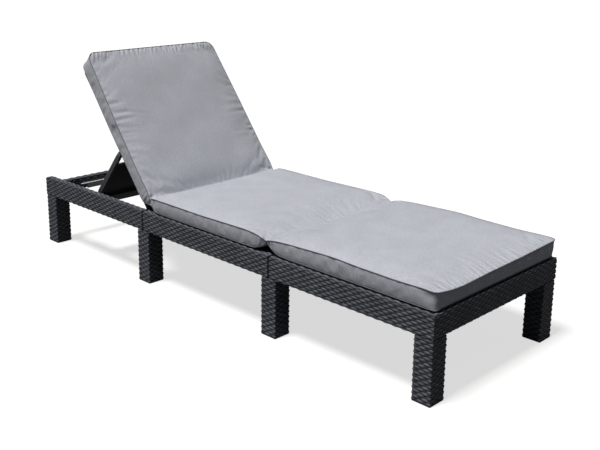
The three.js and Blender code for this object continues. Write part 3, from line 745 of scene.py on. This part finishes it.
# The box: top sheet, underside, and the band that joins them round the edge. Each face keeps its
# place in the cloth, in metres, so that the weave follows the cover.
edge = [(i, 0) for i in range(rows_l)]
edge += [(rows_l - 1, j) for j in range(1, rows_w)]
edge += [(i, rows_w - 1) for i in range(rows_l - 2, -1, -1)]
edge += [(0, j) for j in range(rows_w - 2, 0, -1)]
sheet_size = rows_l * rows_w
seam_top = np.array([i * rows_w + j for i, j in edge])
seam_bottom = seam_top + sheet_size
sheets = np.concatenate([top_sheet.reshape(-1, 3), bottom_sheet.reshape(-1, 3)])
walls = [sheets[seam_top] * (1 - row / BAND_ROWS) + sheets[seam_bottom] * row / BAND_ROWS
         for row in range(1, BAND_ROWS)]
pad_points = np.concatenate([sheets] + walls)
band = [seam_top]
band += [2 * sheet_size + row * len(edge) + np.arange(len(edge)) for row in range(BAND_ROWS - 1)]
band += [seam_bottom]
flat_along = np.concatenate([top_along.ravel(), bottom_along.ravel()]
                            + [top_along.ravel()[seam_top]] * (BAND_ROWS - 1))
flat_across = np.concatenate([top_sheet[..., 1].ravel(), bottom_sheet[..., 1].ravel()]
                             + [top_sheet[..., 1].ravel()[seam_top]] * (BAND_ROWS - 1))
flat_down = np.concatenate([np.zeros(sheet_size), np.ones(sheet_size)]
                           + [np.full(len(edge), row / BAND_ROWS) for row in range(1, BAND_ROWS)])
edge_steps = np.linalg.norm(np.diff(pad_points[np.append(seam_top, seam_top[0])], axis=0), axis=1)
edge_at = np.concatenate(([0.0], np.cumsum(edge_steps)))

pad_faces = []
pad_places = []
for i in range(rows_l - 1):
    for j in range(rows_w - 1):
        a = i * rows_w + j
        upper = (a, a + rows_w, a + rows_w + 1, a + 1)
        under = tuple(sheet_size + v for v in reversed(upper))
        for face in (upper, under):
            pad_faces.append(face)
            pad_places += [(flat_along[v], flat_across[v]) for v in face]
for row, (upper, lower) in enumerate(zip(band[:-1], band[1:])):
    for k in range(len(edge)):
        after = (k + 1) % len(edge)
        pad_faces.append((int(upper[k]), int(lower[k]), int(lower[after]), int(upper[after])))
        near, far = edge_at[k], edge_at[k + 1]
        high, low = 3 + row * 0.01, 3 + (row + 1) * 0.01
        pad_places += [(near, high), (near, low), (far, low), (far, high)]

pad_mesh = bpy.data.meshes.new("cushion_cover")
pad_mesh.from_pydata(pad_points.tolist(), [], pad_faces)
pad_uv = pad_mesh.uv_layers.new(name="cloth")
pad_uv.data.foreach_set("uv", np.array(pad_places, dtype=np.float32).ravel())
for name, values in (("along", flat_along), ("across", flat_across), ("down", flat_down)):
    layer = pad_mesh.attributes.new(name, "FLOAT", "POINT")
    layer.data.foreach_set("value", values.astype(np.float32))


def inflated(mesh, pins):
    """Fills the cover as its foam does: cloth under pressure, held at the pinned points."""
    cover = bpy.data.objects.new("cover", mesh)
    bpy.context.collection.objects.link(cover)
    held = cover.vertex_groups.new(name="sewn")
    held.add([int(v) for v in np.flatnonzero(pins)], 1.0, "REPLACE")
    cloth = cover.modifiers.new("cloth", "CLOTH")
    cloth.settings.vertex_group_mass = "sewn"
    cloth.settings.quality = 6
    cloth.settings.mass = 0.25
    cloth.settings.tension_stiffness = 20
    cloth.settings.compression_stiffness = 20
    cloth.settings.shear_stiffness = 8
    cloth.settings.bending_stiffness = 0.6
    cloth.settings.air_damping = 2
    cloth.settings.shrink_min = -0.012
    cloth.settings.use_pressure = True
    cloth.settings.uniform_pressure_force = 4
    cloth.settings.effector_weights.gravity = 0
    cloth.point_cache.frame_start = 1
    cloth.point_cache.frame_end = 20
    scene = bpy.context.scene
    for step in range(1, 21):
        scene.frame_set(step)
    graph = bpy.context.evaluated_depsgraph_get()
    swollen = cover.evaluated_get(graph).data
    found = np.empty(len(swollen.vertices) * 3, dtype=np.float32)
    swollen.vertices.foreach_get("co", found)
    bpy.data.objects.remove(cover)
    scene.frame_set(1)
    return found.reshape(-1, 3).astype(float)


# Sewn down: both seams, both creases, and the underside where it lies on the decks.
pins = np.zeros(len(pad_points), dtype=bool)
pins[seam_top] = True
pins[seam_bottom] = True
near_crease = np.minimum(np.abs(flat_along - head_at), np.abs(flat_along - knee_at))
pins |= (near_crease < 0.002) & ((flat_down == 0) | (flat_down == 1))
pins |= (flat_down == 1) & (near_crease > 0.05)
filled = inflated(pad_mesh, pins)
moved = filled - pad_points
far_moved = np.linalg.norm(moved, axis=1)
most = np.where((flat_down > 0) & (flat_down < 1), BAND_CAP, PAD_CAP)
held_back = most * np.tanh(far_moved / most) / np.maximum(far_moved, 1e-9)
filled = pad_points + moved * held_back[:, None]
pad_mesh.vertices.foreach_set("co", filled.astype(np.float32).ravel())

# The two seams stay crisp through the subdivision.
sharp = pad_mesh.attributes.new("crease_edge", "FLOAT", "EDGE")
on_seam = set()
for seam in (seam_top, seam_bottom):
    for k in range(len(edge)):
        on_seam.add(frozenset((int(seam[k]), int(seam[(k + 1) % len(edge)]))))
seam_values = [1.0 if frozenset(e.vertices) in on_seam else 0.0 for e in pad_mesh.edges]
sharp.data.foreach_set("value", seam_values)


def subdivided(mesh, levels):
    """The mesh after a subdivision surface, applied."""
    holder = bpy.data.objects.new("holder", mesh)
    bpy.context.collection.objects.link(holder)
    smooth = holder.modifiers.new("smooth", "SUBSURF")
    smooth.levels = levels
    smooth.render_levels = levels
    smooth.uv_smooth = "NONE"
    graph = bpy.context.evaluated_depsgraph_get()
    finer = bpy.data.meshes.new_from_object(holder.evaluated_get(graph))
    bpy.data.objects.remove(holder)
    return finer


cover_mesh = subdivided(pad_mesh, 1)
cover_size = len(cover_mesh.vertices)
places = {}
for name in ("along", "across", "down"):
    values = np.empty(cover_size, dtype=np.float32)
    cover_mesh.attributes[name].data.foreach_get("value", values)
    places[name] = values.astype(float)
    cover_mesh.attributes.remove(cover_mesh.attributes[name])

# Folds: each is a short furrow with a ridge on both sides, from a start on a seam, in cloth
# metres (along from the head end, across from the middle). Depths and pitches are by chance.
chance = np.random.default_rng(51)
lift = np.zeros(cover_size)
on_top = places["down"] < 0.05


def fold(along, across, heading, length, half, depth):
    """Adds one fold to the top of the cover, dying away from its start."""
    ahead_l, ahead_w = math.cos(heading), math.sin(heading)
    dl = places["along"] - along
    dw = places["across"] - across
    ahead = dl * ahead_l + dw * ahead_w
    aside = np.abs(dw * ahead_l - dl * ahead_w)
    picked = on_top & (ahead > 0) & (ahead < length) & (aside < 4 * half)
    t = ahead[picked] / length
    rise = np.clip(ahead[picked] / 0.007, 0, 1) * (1 - t) ** 1.3
    s = aside[picked] / half
    lift[picked] += depth * rise * (0.55 * np.exp(-(s - 1.9) ** 2) - np.exp(-s ** 2))


def row_of_folds(start, stop, pitch, place, length, half, depth):
    """Folds along a seam from start to stop; place(at) gives each one's start and heading."""
    at = start
    while at < stop:
        along, across, heading = place(at)
        strength = chance.uniform(0.35, 1.0)
        fold(along, across, heading + chance.normal(0, 0.12), chance.uniform(0.6, 1.3) * length,
             half * chance.uniform(0.8, 1.25), depth * strength)
        at += pitch * chance.uniform(0.7, 1.35)


row_of_folds(-0.300, 0.300, 0.0135, lambda w: (pad_length, w, math.pi), 0.055, 0.0044, 0.0046)
row_of_folds(-0.285, 0.285, 0.020, lambda w: (0.0, w, -0.45), 0.050, 0.0052, 0.0036)
for sign in (-1, 1):
    aside = -sign * math.pi / 2
    row_of_folds(0.05, head_at - 0.05, 0.034, lambda a: (a, sign * BACK_PAD_HALF, aside), 0.035,
                 0.006, 0.0016)
    row_of_folds(head_at + 0.05, pad_length - 0.03, 0.038, lambda a: (a, sign * PAD_HALF, aside),
                 0.030, 0.006, 0.0014)
    for back in (0.262, 0.295, 0.330, 0.362, 0.385):
        fold(back + 0.04 * sign, sign * BACK_PAD_HALF, aside + sign * chance.normal(0.1, 0.1),
             chance.uniform(0.08, 0.17), 0.0070, chance.uniform(0.0009, 0.0019))
    for crease, width in ((head_at, BACK_PAD_HALF), (knee_at, PAD_HALF)):
        for lean in (-1.15, -0.75, -0.4, 0.4, 0.75, 1.15):
            fold(crease + math.copysign(0.006, lean), sign * (width - 0.008), aside + sign * lean,
                 chance.uniform(0.05, 0.10), 0.0055, 0.0030)
row_of_folds(-0.29, 0.29, 0.030, lambda w: (head_at, w, 0.0), 0.030, 0.006, 0.0012)
row_of_folds(-0.29, 0.29, 0.030, lambda w: (head_at, w, math.pi), 0.026, 0.006, 0.0012)
row_of_folds(-0.30, 0.30, 0.032, lambda w: (knee_at, w, 0.0), 0.032, 0.006, 0.0006)
row_of_folds(-0.30, 0.30, 0.032, lambda w: (knee_at, w, math.pi), 0.032, 0.006, 0.0006)

# Gathers in the band: upright folds, deep beside the creases and faint elsewhere.
on_side = np.abs(places["across"]) > 0.28
arch = 4 * places["down"] * (1 - places["down"])
for crease in (head_at, knee_at):
    off = places["along"] - crease
    deep = np.exp(-(off / 0.04) ** 2)
    wave = np.sin(off * 2 * math.pi / 0.017 + 3 * places["across"]) * deep
    lift += np.where(on_side, 0.0022 * wave * arch, 0)
slow = np.sin(places["along"] * 130 + places["across"] * 90) * np.sin(places["along"] * 37 + 1)
lift += 0.0005 * slow * arch

# The foam under the cover is never quite even.
uneven = np.sin(places["along"] * 13 + 2) * np.cos(places["across"] * 11)
uneven += 0.6 * np.sin(places["along"] * 29 + places["across"] * 17)
fade = np.clip((pad_length - places["along"]) / 0.05, 0, 1) * np.clip(places["along"] / 0.05, 0, 1)
fade *= np.clip((PAD_HALF - np.abs(places["across"])) / 0.06, 0, 1)
lift += np.where(on_top, 0.0011 * uneven * fade, 0)

normals = np.empty(cover_size * 3, dtype=np.float32)
cover_mesh.vertex_normals.foreach_get("vector", normals)
points = np.empty(cover_size * 3, dtype=np.float32)
cover_mesh.vertices.foreach_get("co", points)
points += normals * np.repeat(lift, 3).astype(np.float32)
cover_mesh.vertices.foreach_set("co", points)


YARN_PITCH = 0.0011


def cloth_finish():
    """Plain-woven polyester in a blue-grey melange: pale and dark yarns, a soft sheen."""
    material = bpy.data.materials.new("melange fabric")
    material.use_nodes = True
    tree = material.node_tree
    work = sums(tree)
    shader = tree.nodes["Principled BSDF"]
    place = add_node(tree, "ShaderNodeUVMap", uv_map="cloth").outputs["UV"]
    apart = add_node(tree, "ShaderNodeSeparateXYZ", {0: place})
    turns = 2 * math.pi / YARN_PITCH
    warp = work("SINE", work("MULTIPLY", apart.outputs["X"], turns))
    weft = work("SINE", work("MULTIPLY", apart.outputs["Y"], turns))
    weave = work("MULTIPLY", warp, weft)
    long_way = add_node(tree, "ShaderNodeVectorMath", {0: place, 1: (90, 1300, 1)},
                        operation="MULTIPLY").outputs[0]
    cross_way = add_node(tree, "ShaderNodeVectorMath", {0: place, 1: (1300, 90, 1)},
                         operation="MULTIPLY").outputs[0]
    slub_a = add_node(tree, "ShaderNodeTexNoise", {"Vector": long_way, "Scale": 1.0, "Detail": 2.0})
    slub_b = add_node(tree, "ShaderNodeTexNoise", {"Vector": cross_way, "Scale": 1.0, "Detail": 2.0})
    cloud = add_node(tree, "ShaderNodeTexNoise", {"Vector": place, "Scale": 14.0, "Detail": 3.0})
    yarn = work("ADD", slub_a.outputs["Fac"], slub_b.outputs["Fac"])
    mixed = work("ADD", work("MULTIPLY", yarn, 0.5), work("MULTIPLY", weave, 0.06))
    drift = work("MULTIPLY_ADD", cloud.outputs["Fac"], 0.16, work("SUBTRACT", mixed, 0.08))
    ramp = add_node(tree, "ShaderNodeMapRange", {0: drift, 1: 0.3, 2: 0.7, 3: 0.0, 4: 1.0})
    tone = add_node(tree, "ShaderNodeMix", {"Factor": ramp.outputs[0]}, data_type="RGBA")
    tone.inputs["A"].default_value = (0.29, 0.305, 0.35, 1)
    tone.inputs["B"].default_value = (0.55, 0.565, 0.625, 1)
    tree.links.new(tone.outputs["Result"], shader.inputs["Base Color"])

    # Puckers run in from each sewn line: where it lies along the cushion, how far they reach,
    # how much they lean, and how deep they are.
    gathers = ((pad_length, 0.060, 0.0, 1.3), (0.0, 0.050, 0.5, 0.8), (head_at, 0.030, 0.0, 0.4),
               (knee_at, 0.040, 0.0, 0.5))
    puckers = 0.0
    for sewn_at, reach, lean, depth in gathers:
        away = work("ABSOLUTE", work("SUBTRACT", apart.outputs["X"], sewn_at))
        mask = add_node(tree, "ShaderNodeMapRange", {0: away, 1: 0.0, 2: reach, 3: depth, 4: 0.0},
                        interpolation_type="SMOOTHSTEP").outputs[0]
        sideways = work("MULTIPLY_ADD", away, lean, apart.outputs["Y"])
        spot = add_node(tree, "ShaderNodeCombineXYZ",
                        {"X": work("MULTIPLY", away, 7.0), "Y": work("MULTIPLY", sideways, 95.0),
                         "Z": 7.0 * sewn_at})
        waves = add_node(tree, "ShaderNodeTexNoise",
                         {"Vector": spot.outputs[0], "Scale": 1.0, "Detail": 1.0})
        puckers = work("MULTIPLY_ADD", waves.outputs["Fac"], mask, puckers)
    on_sheet = work("LESS_THAN", apart.outputs["Y"], 1.0)
    puckered = add_node(tree, "ShaderNodeBump", {"Strength": 1.0, "Distance": 0.008,
                                                 "Height": work("MULTIPLY", puckers, on_sheet)})
    relief = work("ADD", weave, work("MULTIPLY", yarn, 1.5))
    bump = add_node(tree, "ShaderNodeBump",
                    {"Strength": 0.35, "Distance": 0.0003, "Height": relief,
                     "Normal": puckered.outputs["Normal"]})
    tree.links.new(bump.outputs["Normal"], shader.inputs["Normal"])
    rough = work("MULTIPLY_ADD", yarn, 0.1, 0.72)
    tree.links.new(rough, shader.inputs["Roughness"])
    shader.inputs["Specular IOR Level"].default_value = 0.3
    shader.inputs["Sheen Weight"].default_value = 0.25
    shader.inputs["Sheen Roughness"].default_value = 0.4
    return material


FABRIC = cloth_finish()
# The piping's dark colour is partly its own slate and partly painted shade, standing for the shadow
# line along the seams.
SHADED_PIPING = moulded("piping with painted seam shade", (0.12, 0.127, 0.15), (0.16, 0.168, 0.195), 0.7, 900, 0.6)
PIPING_RADIUS = 0.0016


def piped(path, radius, sides=6):
    """A closed loop of piping along a closed path of points."""
    ahead = np.roll(path, -1, axis=0) - np.roll(path, 1, axis=0)
    ahead /= np.linalg.norm(ahead, axis=1)[:, None]
    aside = np.cross(ahead, (0, 0, 1.0))
    flat = np.linalg.norm(aside, axis=1) < 0.05
    aside[flat] = (0, 1, 0)
    aside /= np.linalg.norm(aside, axis=1)[:, None]
    above = np.cross(aside, ahead)
    rings = []
    for k in range(sides):
        turn = 2 * math.pi * k / sides
        rings.append(path + radius * (math.cos(turn) * aside + math.sin(turn) * above))
    rings = np.stack(rings, axis=1).reshape(-1, 3)
    size = len(path)
    faces = []
    for i in range(size):
        for k in range(sides):
            after, beside = (i + 1) % size, (k + 1) % sides
            faces.append((i * sides + k, i * sides + beside,
                          after * sides + beside, after * sides + k))
    mesh = bpy.data.meshes.new("piping")
    mesh.from_pydata(rings.tolist(), [], faces)
    return mesh


cover_mesh.materials.clear()
cover_mesh.materials.append(FABRIC)
cover_mesh.materials.append(SHADED_PIPING)
loops = [piped(filled[seam], PIPING_RADIUS) for seam in (seam_top, seam_bottom)]
whole = bmesh.new()
whole.from_mesh(cover_mesh)
for loop in loops:
    before = len(whole.faces)
    whole.from_mesh(loop)
    whole.faces.ensure_lookup_table()
    for face in whole.faces[before:]:
        face.material_index = 1
whole.to_mesh(cover_mesh)
whole.free()
cushion = finished("cushion_long", cover_mesh, None, "fabric", sharp=65)
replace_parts(cushion, "cushion_seat", "cushion_foot", "cushion_back")
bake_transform(cushion)
